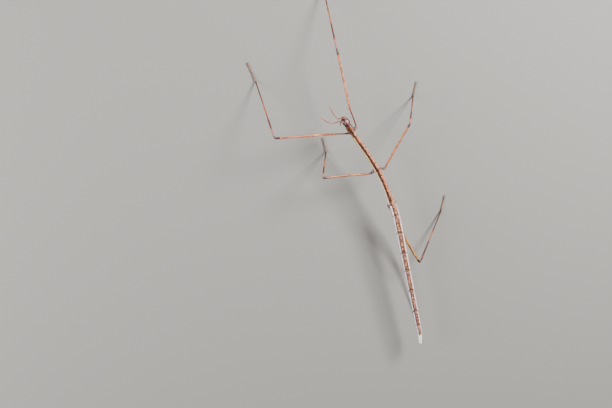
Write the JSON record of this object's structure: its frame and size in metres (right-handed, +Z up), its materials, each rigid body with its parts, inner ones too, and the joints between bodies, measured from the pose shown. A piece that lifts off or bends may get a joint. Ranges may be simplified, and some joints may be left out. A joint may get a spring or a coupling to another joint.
{
  "type": "stick insect",
  "caption": "Life-size still model of a slender wingless stick insect, head forward, with long thin legs standing on their flat feet, short feelers and a blunt tail.",
  "frame": {"origin": "on the floor, under the middle of the insect's bounding box", "axes": "+Z is up from the floor the feet stand on, -Y is the way the insect faces, and +X is the insect's left"},
  "size_m": [0.0638, 0.1484, 0.0208],
  "materials": {
    "back": "satin, mottled orange brown cuticle",
    "face": "satin, greyish pink cuticle",
    "eye": "glossy, dark",
    "feeler": "satin, pinkish brown cuticle",
    "thigh": "satin, orange cuticle",
    "shin": "satin, pinkish brown cuticle",
    "foot": "satin, brown cuticle",
    "tail": "satin, cream cuticle"
  },
  "bodies": {
    "root": {"head": "face", "eye_l": "eye", "eye_r": "eye", "mouthparts": "face", "palp_l": "feeler", "palp_r": "feeler", "antenna_l": "feeler", "antenna_r": "feeler", "prothorax": "back", "mesothorax": "back", "metathorax": "back", "abdomen_1": "back", "abdomen_2": "back", "abdomen_3": "back", "abdomen_4": "back", "abdomen_5": "back", "abdomen_6": "back", "abdomen_7": "back", "abdomen_8": "back", "abdomen_9": "back", "abdomen_10": "tail", "operculum": "tail", "cercus_l": "tail", "cercus_r": "tail", "coxa_fore_l": "shin", "femur_fore_l": "thigh", "tibia_fore_l": "shin", "tarsus_fore_l": "foot", "coxa_fore_r": "shin", "femur_fore_r": "thigh", "tibia_fore_r": "shin", "tarsus_fore_r": "foot", "coxa_mid_l": "shin", "femur_mid_l": "thigh", "tibia_mid_l": "shin", "tarsus_mid_l": "foot", "coxa_mid_r": "shin", "femur_mid_r": "thigh", "tibia_mid_r": "shin", "tarsus_mid_r": "foot", "coxa_hind_l": "shin", "femur_hind_l": "thigh", "tibia_hind_l": "shin", "tarsus_hind_l": "foot", "coxa_hind_r": "shin", "femur_hind_r": "thigh", "tibia_hind_r": "shin", "tarsus_hind_r": "foot"}
  },
  "joints": []
}
